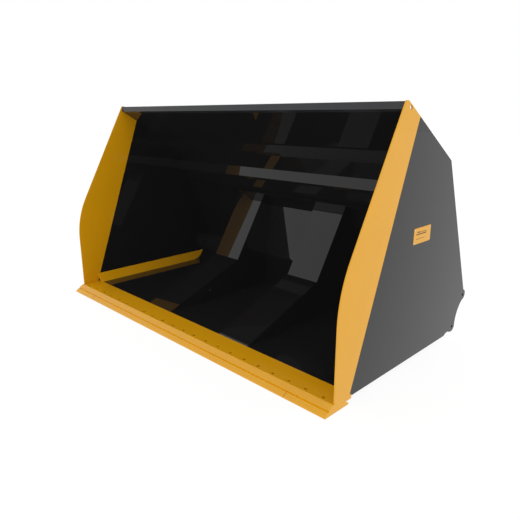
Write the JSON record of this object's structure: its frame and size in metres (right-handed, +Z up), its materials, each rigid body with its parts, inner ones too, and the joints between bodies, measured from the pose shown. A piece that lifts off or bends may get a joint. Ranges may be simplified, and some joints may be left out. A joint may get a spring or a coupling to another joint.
{
  "type": "loader bucket",
  "caption": "High-sided light-material loader bucket with yellow bolt-on and side edges, a black folded shell, two raised pockets inside and a recessed hook-and-pin hitch.",
  "frame": {"origin": "middle of the footprint, on the surface that the bucket rests on", "axes": "+X to the bucket's right seen from the machine, -Y towards the cutting edge, +Z up"},
  "size_m": [2.004, 1.1464, 1.137],
  "materials": {
    "gloss_black_paint": "gloss black enamel on sheet steel",
    "yellow_paint": "gloss yellow enamel on plate",
    "grey_lip_paint": "satin dark grey enamel",
    "bolt_steel": "dark oiled bolt steel"
  },
  "bodies": {
    "root": {"side_plate_left": "gloss_black_paint", "side_plate_right": "gloss_black_paint", "floor_plate": "gloss_black_paint", "rear_lower_left": "gloss_black_paint", "rear_lower_right": "gloss_black_paint", "rear_upper": "gloss_black_paint", "roof_panel": "gloss_black_paint", "cross_beam": "gloss_black_paint", "pocket_shelf": "gloss_black_paint", "rear_channel": "gloss_black_paint", "rear_rib_left": "gloss_black_paint", "rear_rib_right": "gloss_black_paint", "centre_panel": "gloss_black_paint", "pocket_ramp_left": "gloss_black_paint", "pocket_ramp_right": "gloss_black_paint", "pocket_face_left": "gloss_black_paint", "pocket_face_right": "gloss_black_paint", "inner_cheek_left": "gloss_black_paint", "inner_cheek_right": "gloss_black_paint", "outer_cheek_left": "gloss_black_paint", "outer_cheek_right": "gloss_black_paint", "hitch_plate_left_inner": "gloss_black_paint", "hitch_plate_left_outer": "gloss_black_paint", "hitch_plate_right_inner": "gloss_black_paint", "hitch_plate_right_outer": "gloss_black_paint", "pin_bosses_left": "gloss_black_paint", "pin_bosses_right": "gloss_black_paint", "cross_tube": "gloss_black_paint", "hitch_sill": "gloss_black_paint", "wear_runner_1": "gloss_black_paint", "wear_runner_2": "gloss_black_paint", "wear_runner_3": "gloss_black_paint", "wear_runner_4": "gloss_black_paint", "base_edge": "yellow_paint", "bolt_on_edge_left": "yellow_paint", "bolt_on_edge_centre": "yellow_paint", "bolt_on_edge_right": "yellow_paint", "side_edge_left": "yellow_paint", "side_edge_right": "yellow_paint", "corner_bar_left": "yellow_paint", "corner_bar_right": "yellow_paint", "name_plate_left": "yellow_paint", "name_plate_right": "yellow_paint", "top_lip": "grey_lip_paint", "edge_bolts_left": "bolt_steel", "edge_bolts_centre": "bolt_steel", "edge_bolts_right": "bolt_steel"}
  },
  "joints": []
}
